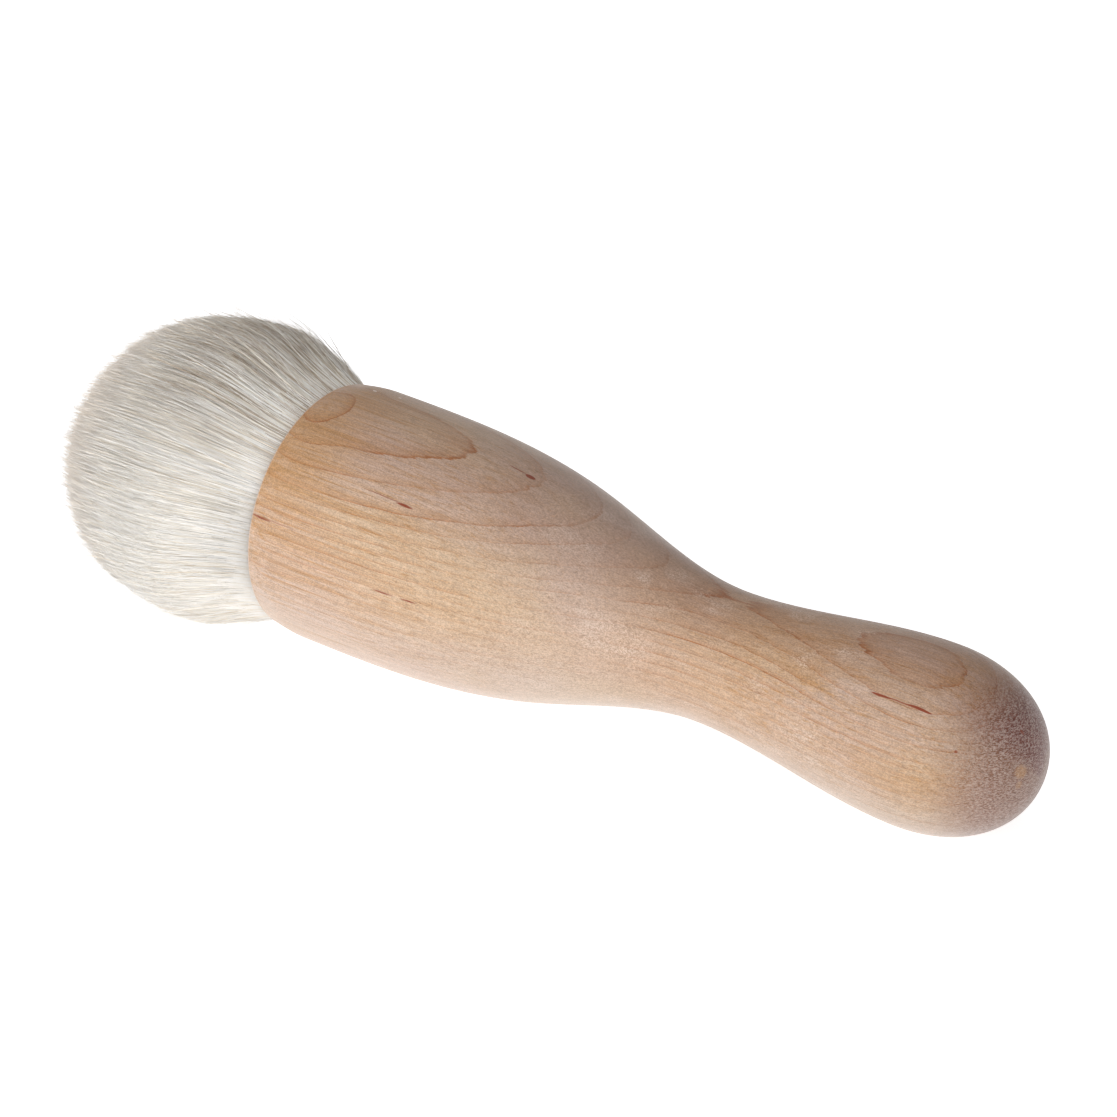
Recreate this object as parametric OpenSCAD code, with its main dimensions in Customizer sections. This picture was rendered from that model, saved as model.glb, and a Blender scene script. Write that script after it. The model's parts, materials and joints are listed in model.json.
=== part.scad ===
// Kabuki makeup brush with a turned wooden handle and a round head of goat hair.
// The hair has no ferrule: it is tied, sealed in resin and glued straight into the mouth of the wood.
// Every piece is drawn upright on the turning axis, tail end at z = 0 and hair up, and then laid down.
// The laid brush has the table at z = 0, its head towards -X and its tail towards +X.

/* [Handle] */
// Length of the wood, from the tail end to the mouth
handle_l = 108; // [100:1:120]
// Diameter of the tail bulb
tail_d = 23.6; // [21:0.2:26]
// Distance from the tail end to the widest place of the bulb
tail_at = 15.5; // [12:0.5:19]
// Fullness of the tail's round end, where 2 is an ellipse
tail_fullness = 2.1; // [2:0.1:3]
// Diameter of the neck
neck_d = 17.6; // [15:0.1:20]
// Distance from the tail end to the neck
neck_at = 45; // [38:0.5:50]
// Diameter of the flank, where the wood swells fastest
flank_d = 29.1; // [26:0.1:31]
// Distance from the tail end to the flank
flank_at = 69.5; // [64:0.5:76]
// Rise of the radius for each millimetre of length at the flank
flank_slope = 0.26; // [0.16:0.01:0.3]
// Diameter of the belly, the widest place of the wood
belly_d = 35; // [34.4:0.1:37]
// Distance from the mouth back to the belly
belly_back = 4.7; // [3:0.1:8]

/* [Mouth] */
// Outer diameter of the lip
mouth_d = 34; // [33:0.1:34.6]
// Fall of the radius for each millimetre of length where the wood meets the lip
lip_slope = 0.18; // [0.05:0.01:0.25]
// Thickness of the lip, which is fully rounded
lip_t = 1.2; // [0.8:0.1:1.8]

/* [Socket] */
// Diameter of the drilled socket
socket_d = 29.2; // [27:0.1:30]
// Depth of the socket, from the mouth
socket_depth = 25; // [22:0.5:30]
// Length of the flared part of the socket, from the mouth
flare_l = 8; // [5:0.5:11]
// Diameter of the dimple that the drill's point leaves in the floor
dimple_d = 3; // [1:0.5:5]
// Depth of that dimple
dimple_depth = 1.2; // [0.5:0.1:2.5]

/* [Hair] */
// Length of hair outside the wood
hair_out = 38.5; // [34:0.5:44]
// Diameter of the head at its widest place
head_d = 42.6; // [38:0.2:46]
// Distance from the mouth to the widest place of the head
head_at = 15.5; // [12:0.5:19]
// Fullness of the dome, where 2 is an ellipse
dome_fullness = 2.1; // [1.8:0.1:2.6]
// Widening of the radius for each millimetre of length where the hair leaves the lip
fan_slope = 0.35; // [0.25:0.01:0.45]
// Distance that the tip of the lying head droops
head_droop = 1.4; // [0:0.1:2.5]
// Depth that the soft head is pressed in as it lies, unless the belly reaches the table first
head_press = 1.5; // [0.5:0.1:2]
// Number of locks that the hair falls into, a multiple of four
lock_count = 56; // [40:4:60]
// Depth of the furrows between the locks
lock_depth = 0.4; // [0.1:0.05:0.6]

/* [Tie and glue] */
// Diameter of the thread that ties the hair
thread_d = 0.9; // [0.6:0.1:1.2]
// Number of turns of the thread
thread_turns = 5; // [3:1:6]
// Free space between two turns
thread_gap = 0.08; // [0.05:0.01:0.3]
// Thickness of the resin that seals the hair roots
seal_t = 4; // [2.5:0.1:4.5]
// Length of loose hair between the resin and the first turn of thread
root_l = 0.8; // [0.5:0.1:1.5]
// Thickness of the glue on the floor of the socket
glue_floor_t = 1.2; // [0.8:0.1:2]
// Thickness of the glue between the socket's wall and the resin
glue_wall_t = 0.3; // [0.2:0.05:0.5]
// Height that the glue climbs beside the resin
glue_rise = 3; // [1:0.5:4]
// Space left between the hair and what holds it
hair_gap = 0.05; // [0.03:0.01:0.15]

/* [Hidden] */
$fn = 96;

wood_colour = [0.84, 0.69, 0.52];
hair_colour = [0.93, 0.91, 0.86];
thread_colour = [0.78, 0.74, 0.66];
resin_colour = [0.62, 0.38, 0.14];
glue_colour = [0.90, 0.87, 0.74];

// Number of straight steps in each curved stretch of an outline
cap_steps = 14;
swell_steps = 14;
belly_steps = 5;
lip_steps = 10;
fan_steps = 8;
dome_steps = 11;
thread_sides = 8;
thread_steps_a_turn = 36;

// Radii that several pieces share
socket_r = socket_d / 2;
lip_r = lip_t / 2;
lip_centre = [handle_l - lip_r, mouth_d / 2 - lip_r];
socket_floor = handle_l - socket_depth;
flare_start = handle_l - flare_l;
seal_r = socket_r - glue_wall_t;
seal_bottom = socket_floor + glue_floor_t;
seal_top = seal_bottom + seal_t;
tie_bottom = seal_top + root_l;
tie_pitch = thread_d + thread_gap;
tie_top = tie_bottom + (thread_turns + 1) * tie_pitch;
tie_r = seal_r - thread_d - 2 * hair_gap;

// Outlines are lists of [distance along the axis, radius].
// A station is [distance along the axis, radius, slope of the radius].

// Smooth curve between two stations, without its last point
function swell(a, b, steps) =
    let (l = b[0] - a[0])
    [for (i = [0 : steps - 1])
        let (t = i / steps, t2 = t * t, t3 = t2 * t)
        [
            a[0] + l * t,
            (2 * t3 - 3 * t2 + 1) * a[1] + (t3 - 2 * t2 + t) * l * a[2]
                + (3 * t2 - 2 * t3) * b[1] + (t3 - t2) * l * b[2]
        ]
    ];

// Point of a quarter of a superellipse, from the pole at 0 degrees to the widest place at 90
function round_end(length, radius, fullness, angle) =
    [length * (1 - pow(cos(angle), 2 / fullness)), radius * pow(sin(angle), 2 / fullness)];

// Point on a circle round the lip's centre line: 0 degrees faces outwards, 90 is the crest, 180 faces the hair
function round_lip(radius, angle) =
    lip_centre + radius * [sin(angle), cos(angle)];

// The taper of the socket's flare meets the lip's round as a tangent.
flare_rise = lip_centre[1] - socket_r;
flare_run = lip_centre[0] - flare_start;
flare_angle = atan2(flare_rise, flare_run) - asin(lip_r / norm([flare_rise, flare_run]));

bulb = [tail_at, tail_d / 2, 0];
neck = [neck_at, neck_d / 2, 0];
flank = [flank_at, flank_d / 2, flank_slope];
belly = [handle_l - belly_back, belly_d / 2, 0];
lip_outer_angle = atan(lip_slope);
lip_outer = round_lip(lip_r, lip_outer_angle);

// Outside of the wood, from the pole of the tail to the crest of the lip
wood_outline = concat(
    [for (i = [0 : cap_steps - 1]) round_end(tail_at, bulb[1], tail_fullness, 90 * i / cap_steps)],
    swell(bulb, neck, swell_steps),
    swell(neck, flank, swell_steps),
    swell(flank, belly, swell_steps),
    swell(belly, [lip_outer[0], lip_outer[1], -lip_slope], belly_steps),
    [for (i = [0 : lip_steps])
        round_lip(lip_r, lip_outer_angle + (180 - flare_angle - lip_outer_angle) * i / lip_steps)]
);

// The socket, from the flare down to the drill's dimple
socket_outline = [
    [flare_start, socket_r],
    [socket_floor, socket_r],
    [socket_floor, dimple_d / 2],
    [socket_floor - dimple_depth, 0]
];

// Hair outside the wood: it leaves the lip as a tangent, fans out to the widest place and closes in a dome.
fan_angle = atan(fan_slope);
fan_start = round_lip(lip_r + hair_gap, 180 - fan_angle);
head_r = head_d / 2;
head_z = handle_l + head_at;
hair_outline = concat(
    swell([fan_start[0], fan_start[1], fan_slope], [head_z, head_r, 0], fan_steps),
    [for (i = [0 : dome_steps - 1])
        let (p = round_end(hair_out - head_at, head_r, dome_fullness, 90 - 90 * i / dome_steps))
        [handle_l + hair_out - p[0], p[1]]]
);

// Hair inside the socket: sealed end, waist under the thread, and the part that the flare holds
root_outline = [
    [seal_top, seal_r],
    [tie_bottom, tie_r],
    [tie_top, tie_r],
    [tie_top + 2 * thread_d, socket_r - hair_gap],
    [flare_start, socket_r - hair_gap],
    round_lip(lip_r + hair_gap, 180 - flare_angle)
];

// The head's own weight makes it droop, more and more towards the tip.
function droop(z) = z <= handle_l ? 0 : head_droop * pow((z - handle_l) / hair_out, 2);

// Lying down: the table touches the brush on both sides of the neck, so it lies along the chord that is
// highest over the neck, from the tail to the belly or to the pressed head.
tail_side = [for (p = wood_outline) if (p[0] < neck_at) p];
head_side = concat(
    [for (p = wood_outline) if (p[0] > neck_at) p],
    [for (p = hair_outline) [p[0], p[1] + droop(p[0]) - head_press]]
);
function chord_height(p, q) = p[1] + (q[1] - p[1]) * (neck_at - p[0]) / (q[0] - p[0]);
highest_chord = max([for (p = tail_side) for (q = head_side) chord_height(p, q)]);
rest_chord = [for (p = tail_side) for (q = head_side) if (chord_height(p, q) == highest_chord) [p, q]][0];
lie_angle = atan2(rest_chord[1][1] - rest_chord[0][1], rest_chord[1][0] - rest_chord[0][0]);
tail_height = rest_chord[0][1] * cos(lie_angle) - rest_chord[0][0] * sin(lie_angle);
tail_reach = max([for (p = wood_outline) p[1] * sin(lie_angle) - p[0] * cos(lie_angle)]);
head_reach = min([for (p = hair_outline) -p[1] * sin(lie_angle) - p[0] * cos(lie_angle)]);
// Place of the tail's pole, which centres the brush over the origin
tail_place = [-(tail_reach + head_reach) / 2, 0, tail_height];

// The same laying down for a piece and for a point
module lay_down() {
    translate(tail_place) rotate([0, lie_angle - 90, 0]) children();
}

function laid(p) = tail_place
    + [p[0] * sin(lie_angle) - p[2] * cos(lie_angle), p[1], p[0] * cos(lie_angle) + p[2] * sin(lie_angle)];

// Faces of a skin over rings of points, with a flat end on the first ring and an open end on the last
function skin_faces(rings, sides) =
    concat(
        [[for (k = [0 : sides - 1]) k]],
        [for (j = [0 : rings - 2]) for (k = [0 : sides - 1])
            let (a = j * sides + k, b = j * sides + (k + 1) % sides)
            each [[a, a + sides, b], [b, a + sides, b + sides]]]
    );

module handle() {
    color(wood_colour)
    lay_down()
    rotate_extrude()
    polygon([for (p = concat(wood_outline, socket_outline)) [p[1], p[0]]]);
}

// The hair lies in locks with furrows between them, which start at the lip and fade out towards the tip.
module hair_head() {
    sides = 2 * lock_count;
    outline = concat(root_outline, hair_outline);
    tip = [0, 0, handle_l + hair_out];
    function furrow(p) = lock_depth * max(0, min(1, (p[0] - handle_l) / head_at, 2 * p[1] / head_r));
    function drooping(p) = laid(p) - [0, 0, droop(p[2])];
    rings = [for (p = outline) for (k = [0 : sides - 1])
        let (angle = 360 * k / sides, r = p[1] - furrow(p) * (k % 2))
        drooping([r * cos(angle), r * sin(angle), p[0]])];
    // What would be under the table is pressed flat against it.
    pressed = [for (p = concat(rings, [drooping(tip)])) [p[0], p[1], max(p[2], 0)]];
    last = len(outline) * sides;
    cap = [for (k = [0 : sides - 1]) [last - sides + k, last, last - sides + (k + 1) % sides]];
    color(hair_colour)
    polyhedron(pressed, concat(skin_faces(len(outline), sides), cap));
}

// One thread wound in a close helix round the waist of the hair
module binding_thread() {
    steps = thread_turns * thread_steps_a_turn;
    coil_r = tie_r + thread_d / 2 + hair_gap;
    rings = [for (j = [0 : steps]) for (k = [0 : thread_sides - 1])
        let (
            turn = 360 * j / thread_steps_a_turn,
            round = 360 * k / thread_sides,
            r = coil_r + thread_d / 2 * cos(round),
            z = tie_bottom + tie_pitch * j / thread_steps_a_turn + thread_d / 2 * (1 + sin(round))
        )
        [r * cos(turn), r * sin(turn), z]];
    far_end = [for (k = [thread_sides - 1 : -1 : 0]) steps * thread_sides + k];
    color(thread_colour)
    lay_down()
    polyhedron(rings, concat(skin_faces(steps + 1, thread_sides), [far_end]));
}

// Resin that the hair roots are cast in
module root_seal() {
    edge = glue_wall_t;
    color(resin_colour)
    lay_down()
    rotate_extrude()
    polygon([
        [0, seal_bottom],
        [seal_r - edge, seal_bottom],
        [seal_r, seal_bottom + edge],
        [seal_r, seal_top],
        [0, seal_top]
    ]);
}

// Glue that fills the floor of the socket and climbs beside the resin
module glue_bed() {
    edge = glue_wall_t;
    color(glue_colour)
    lay_down()
    rotate_extrude()
    polygon([
        [0, socket_floor - dimple_depth],
        [dimple_d / 2, socket_floor],
        [socket_r, socket_floor],
        [socket_r, seal_bottom + glue_rise],
        [seal_r, seal_bottom + glue_rise],
        [seal_r, seal_bottom + edge],
        [seal_r - edge, seal_bottom],
        [0, seal_bottom]
    ]);
}

handle();
hair_head();
binding_thread();
root_seal();
glue_bed();
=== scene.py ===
"""A kabuki makeup brush that lies on a pale floor: a turned wooden handle with a round head of goat hair.

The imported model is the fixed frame, and every piece is worked out in the brush's own upright coordinates:
x points up where the brush lies, y points away from the viewer, and z runs along the turning axis, from the
tail end to the tip of the hair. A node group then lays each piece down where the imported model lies.
"""

import json
import math

import bpy
from mathutils import Euler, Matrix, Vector


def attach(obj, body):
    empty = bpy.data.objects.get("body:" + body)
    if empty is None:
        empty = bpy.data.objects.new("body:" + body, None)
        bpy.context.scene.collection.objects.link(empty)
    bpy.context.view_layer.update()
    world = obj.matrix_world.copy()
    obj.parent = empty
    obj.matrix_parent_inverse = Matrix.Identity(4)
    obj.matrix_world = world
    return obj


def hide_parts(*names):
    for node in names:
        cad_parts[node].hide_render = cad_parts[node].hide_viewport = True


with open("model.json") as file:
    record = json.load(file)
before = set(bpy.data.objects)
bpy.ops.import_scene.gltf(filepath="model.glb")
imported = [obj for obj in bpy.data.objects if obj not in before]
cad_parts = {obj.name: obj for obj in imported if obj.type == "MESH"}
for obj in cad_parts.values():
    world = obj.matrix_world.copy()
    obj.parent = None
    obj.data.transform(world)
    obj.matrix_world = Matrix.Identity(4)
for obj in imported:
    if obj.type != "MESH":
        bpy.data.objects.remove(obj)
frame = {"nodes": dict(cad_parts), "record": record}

bl_info = {
    "name": "Kabuki Makeup Brush",
    "version": (1, 0, 0),
    "blender": (4, 5, 0),
    "location": "3D View > Sidebar > Kabuki Brush",
    "description": "Builds a turned wooden makeup brush with a dome of goat hair on a studio floor",
    "category": "Add Mesh",
}

BODY = "root"
MM = 0.001
GOLDEN_SHARE = (math.sqrt(5) - 1) / 2
ROUND_PULL = 4 / 3 * (math.sqrt(2) - 1)  # A Bezier handle of this share of the radius bends a quarter circle.
SPINDLE = 1e-7  # Radius of the circle that carries a turned outline, too small to see.
WELD = 5e-7  # Points of a turned piece that lie closer than this become one.

# Inputs of each tree that say how an upright piece is laid on the table.
LAY_DOWN = {
    **dict.fromkeys(("Tail", "Turn"), "Vector"),
    **dict.fromkeys(("Mouth", "Free Length", "Droop", "Softness"), "Float"),
}

# How the single hairs lie.
LOOSE_HAIRS = 15  # One hair in this many strays far from the rest.
LAYER_DEPTH = 0.16  # How deep the lowest layer lies, as a share of the radius.
ROOT_IN = 0.0009  # How far inside the lip a hair starts.
OPEN_OVER = 0.007  # Over this distance from the mouth the hairs open into locks.
STREAK_LENGTH = 45  # A lock or streak is this many times as long as it is wide.
CORE_GAPS = 6  # The dense core stays this many gaps away from the lip.
CORE_FAN = 0.9  # Its slope at the lip, as a share of the hair's.

# The stage's light.
KEY_SPOT = (-0.25, -0.80, 0.25)
KEY_SIZE = 0.4  # Diameter of the large light.
FRONT_RISE = 0.40  # How far the studio's light comes from above, where 0 is level.
GLOW_COLOUR = (1.0, 0.99, 1.0)

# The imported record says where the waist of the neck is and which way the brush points.
WAIST = next(m for m in frame["record"]["mounts"] if m["name"] == "neck_waist")
AXIS = Vector(WAIST["axis"]).normalized()
LIE_TURN = Euler((0, math.asin(AXIS.z) - math.pi / 2, 0))


def length(name, description, default):
    """A size in metres that the sidebar shows in the scene's own unit."""
    return bpy.props.FloatProperty(
        name=name, description=description, default=default, unit="LENGTH", subtype="DISTANCE", precision=5
    )


def share(name, description, default):
    """A plain number without a unit."""
    return bpy.props.FloatProperty(name=name, description=description, default=default, precision=3)


def whole(name, description, default):
    """A whole number, such as a count."""
    return bpy.props.IntProperty(name=name, description=description, default=default, min=1)


def colour(name, description, default):
    """A colour in linear light."""
    return bpy.props.FloatVectorProperty(
        name=name, description=description, default=default, size=3, subtype="COLOR", min=0, max=1
    )


class HandleSettings(bpy.types.PropertyGroup):
    """Sizes and colours of the turned wood."""

    length: length("Length", "From the tail end to the mouth", 0.108)
    tail_d: length("Tail diameter", "Widest place of the tail bulb", 0.0236)
    tail_at: length("Tail bulb at", "From the tail end to the widest place of the bulb", 0.0155)
    tail_fullness: share("Tail fullness", "2 is an ellipse, and more is fuller", 2.1)
    neck_d: length("Neck diameter", "Narrowest place of the wood", 0.0176)
    neck_at: length("Neck at", "From the tail end to the neck", 0.045)
    flank_d: length("Flank diameter", "Where the wood swells fastest", 0.0291)
    flank_at: length("Flank at", "From the tail end to the flank", 0.0695)
    flank_slope: share("Flank slope", "Rise of the radius for each unit of length at the flank", 0.26)
    belly_d: length("Belly diameter", "Widest place of the wood", 0.035)
    belly_back: length("Belly back", "From the mouth back to the belly", 0.0047)
    mouth_d: length("Mouth diameter", "Outside of the lip", 0.034)
    lip_slope: share("Lip slope", "Fall of the radius for each unit of length at the lip", 0.18)
    lip_t: length("Lip thickness", "The lip is fully rounded", 0.0012)
    socket_d: length("Socket diameter", "The drilled hole that holds the hair", 0.0292)
    socket_depth: length("Socket depth", "From the mouth to the socket's floor", 0.025)
    flare_l: length("Flare length", "From the mouth to where the flare starts", 0.008)
    dimple_d: length("Dimple diameter", "Mark of the drill's point", 0.003)
    dimple_depth: length("Dimple depth", "Mark of the drill's point", 0.0012)
    turns: whole("Steps round", "Faces round the axis", 200)
    rounds: whole("Steps along", "Faces along each curve of the outline", 34)
    pale: colour("Pale wood", "Wood between the growth rings", (0.62, 0.445, 0.30))
    rosy: colour("Rosy wood", "Sanded wood of the flanks", (0.59, 0.43, 0.345))
    # Painted reflection of the pale floor: the grey that the wood is painted low on the sides.
    painted_floor_reflection: colour("Ashen wood", "Wood low on the sides", (0.50, 0.45, 0.40))
    warm: colour("Warm wood", "Wood beside the growth lines", (0.54, 0.30, 0.13))
    line: colour("Growth line", "Dark edge of a growth ring", (0.42, 0.165, 0.055))
    fleck: colour("Fleck", "Mineral streaks in the wood", (0.22, 0.04, 0.012))
    dust: colour("Cut fibres", "Fibres cut across at the tail and on the flank", (0.78, 0.67, 0.60))


class HairSettings(bpy.types.PropertyGroup):
    """Sizes and colours of the hair."""

    out: length("Free length", "From the mouth to the tip", 0.0385)
    head_d: length("Head diameter", "Widest place of the head", 0.0426)
    head_at: length("Head at", "From the mouth to the widest place of the head", 0.0155)
    fullness: share("Dome fullness", "2 is an ellipse, and more is fuller", 2.1)
    fan_slope: share("Fan slope", "Rise of the radius for each unit of length at the lip", 0.35)
    droop: length("Droop", "Distance that the tip hangs down", 0.0014)
    softness: length("Softness", "Height over the table at which the hair starts to give way", 0.0009)
    gap: length("Gap", "Between the hair and the wood", 0.00005)
    root_at: length("Root ends at", "From the tail end to the cut ends of the roots", 0.0882)
    root_r: length("Root radius", "Of the roots in the socket", 0.01425)
    tie_r: length("Tied radius", "Of the roots under the thread", 0.01325)
    tie_from: length("Thread from", "From the tail end to the first turn", 0.089)
    tie_to: length("Thread to", "From the tail end to the last turn", 0.09488)
    core_depth: length("Core depth", "How far the dense inside lies under the tips", 0.0022)
    core_turns: whole("Core steps round", "Faces round the core", 160)
    core_rounds: whole("Core steps along", "Faces along each curve of the core", 24)
    inward: share("Inward", "How far hairs curve in over the dome, as a share of the radius", 0.22)
    short: length("Crown hair length", "The stretch that is made of the hairs in the middle of the dome", 0.012)
    uneven: length("Uneven", "Difference in length between neighbouring hairs", 0.0030)
    strands: whole("Strands", "Number of hairs in each sector of the flank", 3900)
    sectors: whole("Sectors", "Number of pieces that the flank's hair is made in", 9)
    joints: whole("Joints", "Number of straight stretches in each hair", 5)
    strand_d: length("Hair diameter", "Thickness of one hair", 0.00012)
    crown_from: share("Crown from", "Where the crown starts, from the widest place to the tip", 0.5)
    crown_strands: whole("Crown strands", "Number of hairs in each sector of the crown", 13000)
    crown_sectors: whole("Crown sectors", "Number of pieces that the crown's hair is made in", 6)
    crown_d: length("Crown hair diameter", "Thickness of one hair of the crown", 0.00009)
    lock_width: length("Lock width", "Width of one lock at the head's widest place", 0.0009)
    furrow: length("Furrow", "Depth between two locks", 0.00011)
    stray: length("Stray", "How far a stray hair wanders", 0.0019)
    white: colour("White hair", "Most of the hair", (0.99, 0.972, 0.935))
    cream: colour("Cream hair", "Warmer hairs among the white", (0.955, 0.895, 0.79))
    tan: colour("Tan hair", "A few darker hairs", (0.84, 0.74, 0.60))
    tip: colour("Hair tips", "The thin ends of the hairs", (0.875, 0.76, 0.645))
    # Painted shade: the colour that darkens deep hairs, gaps between locks and the upper side of the head.
    shade: colour("Inner hair", "Hair that lies deeper", (0.37, 0.26, 0.16))


class StageSettings(bpy.types.PropertyGroup):
    """Camera, floor and light."""

    azimuth: bpy.props.FloatProperty(
        name="Azimuth", description="Camera's turn round the brush", default=math.radians(34.33), subtype="ANGLE"
    )
    elevation: bpy.props.FloatProperty(
        name="Elevation", description="Camera's height over the horizon", default=math.radians(25.57),
        subtype="ANGLE"
    )
    distance: length("Distance", "From the camera to the point that it aims at", 0.488)
    aim: bpy.props.FloatVectorProperty(
        name="Aim", description="Point that the camera looks at", default=(0.00305, 0.0, 0.02104), size=3,
        subtype="XYZ", unit="LENGTH", precision=5
    )
    lens: bpy.props.FloatProperty(
        name="Lens", description="Focal length in millimetres on a 36 mm frame", default=122.5, unit="CAMERA"
    )
    floor_size: length("Floor size", "Side of the square floor", 30.0)
    floor_colour: colour("Floor colour", "Plain pale paper", (0.86, 0.86, 0.87))
    floor_glow: share("Floor glow", "Light from within the table", 0.75)
    sky: share("Sky strength", "Light of the whole studio", 0.98)
    dim_side: share("Dim side", "Light from behind, as a share of the light from the front", 0.25)
    front_turn: bpy.props.FloatProperty(
        name="Front", description="Direction that the light comes from", default=math.radians(-6), subtype="ANGLE"
    )
    key: share("Key power", "Power of the large light in front, in watts", 2.65)


def arithmetic(operation, turned=False):
    """A method of a formula that adds one Math node."""

    def method(self, other):
        return self.maker.math(operation, *((other, self) if turned else (self, other)))

    return method


class Formula:
    """A number in a node tree. Adding, multiplying and so on adds the Math nodes that work it out."""

    def __init__(self, maker, socket):
        self.maker = maker
        self.socket = socket

    __add__, __radd__ = arithmetic("ADD"), arithmetic("ADD", True)
    __sub__, __rsub__ = arithmetic("SUBTRACT"), arithmetic("SUBTRACT", True)
    __mul__, __truediv__ = arithmetic("MULTIPLY"), arithmetic("DIVIDE")
    __rtruediv__, __pow__ = arithmetic("DIVIDE", True), arithmetic("POWER")

    def __neg__(self):
        return self * -1.0


class Maker:
    """Adds nodes to a tree and links them, so that a tree reads as a list of steps."""

    def __init__(self, tree):
        self.tree = tree

    def feed(self, socket, value):
        """Links a socket to another, or sets its value."""
        if isinstance(value, Formula):
            value = value.socket
        if isinstance(value, bpy.types.NodeSocket):
            self.tree.links.new(value, socket)
        else:
            socket.default_value = value

    def add(self, kind, inputs=None, **settings):
        """One node, with its settings and then its inputs by name or number."""
        node = self.tree.nodes.new(kind)
        for name, value in settings.items():
            setattr(node, name, value)
        for key, value in (inputs or {}).items():
            self.feed(node.inputs[key], value)
        return node

    def step(self, kind, inputs=None, **settings):
        """The first output of one node."""
        return self.add(kind, inputs, **settings).outputs[0]

    def math(self, operation, *values):
        """One step of arithmetic."""
        return Formula(self, self.step("ShaderNodeMath", dict(enumerate(values)), operation=operation))

    def larger(self, one, other):
        """The larger of two numbers."""
        return self.math("MAXIMUM", one, other)

    def smaller(self, one, other):
        """The smaller of two numbers."""
        return self.math("MINIMUM", one, other)

    def circle(self, angle):
        """The cosine and the sine of an angle."""
        return self.math("COSINE", angle), self.math("SINE", angle)

    def ramp(self, value, low, high, to_low=0.0, to_high=1.0):
        """value from low to high becomes to_low to to_high, smoothly, and stays there outside."""
        node = self.add(
            "ShaderNodeMapRange",
            {"Value": value, "From Min": low, "From Max": high, "To Min": to_low, "To Max": to_high},
            interpolation_type="SMOOTHSTEP",
        )
        return Formula(self, node.outputs["Result"])

    def fade(self, value, low, high):
        """1 up to low, and then smoothly down to 0 at high."""
        return self.ramp(value, low, high, 1.0, 0.0)

    def band(self, value, low, from_here, to_here, high):
        """1 between the middle two places, and smoothly down to 0 at the outer two."""
        return self.ramp(value, low, from_here) * self.fade(value, to_here, high)

    def vector(self, x, y, z):
        """A vector of three numbers."""
        return self.step("ShaderNodeCombineXYZ", {0: x, 1: y, 2: z})

    def split(self, vector):
        """The three numbers of a vector."""
        node = self.add("ShaderNodeSeparateXYZ", {0: vector})
        return [Formula(self, output) for output in node.outputs]

    def noise(self, vector, scale, detail=2.0, roughness=0.5):
        """Smooth noise round 0.5."""
        texture = {"Vector": vector, "Scale": scale, "Detail": detail, "Roughness": roughness}
        return Formula(self, self.step("ShaderNodeTexNoise", texture))

    def paint(self, share_of, under, over, mode="MIX"):
        """The colour under, with this share of the colour over laid on it."""
        node = self.add("ShaderNodeMix", {0: share_of}, data_type="RGBA", blend_type=mode)
        for number, value in ((6, under), (7, over)):
            self.feed(node.inputs[number], value if isinstance(value, bpy.types.NodeSocket) else (*value, 1))
        return node.outputs[2]

    def darken(self, under, light):
        """The colour under, times this light."""
        return self.paint(1.0, under, self.vector(light, light, light), "MULTIPLY")

    def bump(self, shader, strength, distance, height):
        """Gives a shader small bumps of this height."""
        bumps = self.step("ShaderNodeBump", {"Strength": strength, "Distance": distance, "Height": height})
        self.feed(shader.inputs["Normal"], bumps)


# Geometry Nodes trees


def new_tree(name, sockets):
    """A Geometry Nodes tree with named inputs. Returns its maker, its inputs by name and its output node."""
    tree = bpy.data.node_groups.new(name, "GeometryNodeTree")
    tree.interface.new_socket("Geometry", in_out="OUTPUT", socket_type="NodeSocketGeometry")
    for socket_name, socket_type in sockets.items():
        tree.interface.new_socket(socket_name, in_out="INPUT", socket_type="NodeSocket" + socket_type)
    maker = Maker(tree)
    inputs = maker.add("NodeGroupInput").outputs
    given = {}
    for socket_name, socket_type in sockets.items():
        number = socket_type in ("Float", "Int")
        given[socket_name] = Formula(maker, inputs[socket_name]) if number else inputs[socket_name]
    return maker, given, maker.add("NodeGroupOutput")


def run_tree(piece, tree, values):
    """Runs a tree on an object and returns a new mesh object of what it makes. The first object is removed."""
    modifier = piece.modifiers.new(tree.name, "NODES")
    modifier.node_group = tree
    for item in tree.interface.items_tree:
        if item.in_out == "INPUT" and item.name in values:
            modifier[item.identifier] = values[item.name]
    graph = bpy.context.evaluated_depsgraph_get()
    mesh = bpy.data.meshes.new_from_object(piece.evaluated_get(graph))
    name = piece.name
    bpy.data.objects.remove(piece)
    made = bpy.data.objects.new(name, mesh)
    mesh.name = name
    bpy.context.scene.collection.objects.link(made)
    return made


def lay_down_tree():
    """Lays upright points down, lets them droop and presses what would be under the table flat against it."""
    maker, given, out = new_tree("Lay down", {"Geometry": "Geometry", **LAY_DOWN})
    upright = maker.step("GeometryNodeInputPosition")
    along = maker.split(upright)[2] - given["Mouth"]
    turned = maker.step(
        "ShaderNodeVectorRotate", {"Vector": upright, "Rotation": given["Turn"]}, rotation_type="EULER_XYZ"
    )
    placed = maker.step("ShaderNodeVectorMath", {0: turned, 1: given["Tail"]}, operation="ADD")
    x, y, z = maker.split(placed)
    reach = maker.larger(along, 0.0) / given["Free Length"]
    drooped = z - given["Droop"] * reach * reach
    pressed = (drooped + maker.math("SQRT", drooped * drooped + given["Softness"] * given["Softness"])) * 0.5
    place = {"Geometry": given["Geometry"], "Position": maker.vector(x, y, pressed)}
    maker.feed(out.inputs[0], maker.step("GeometryNodeSetPosition", place))
    return maker.tree


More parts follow.
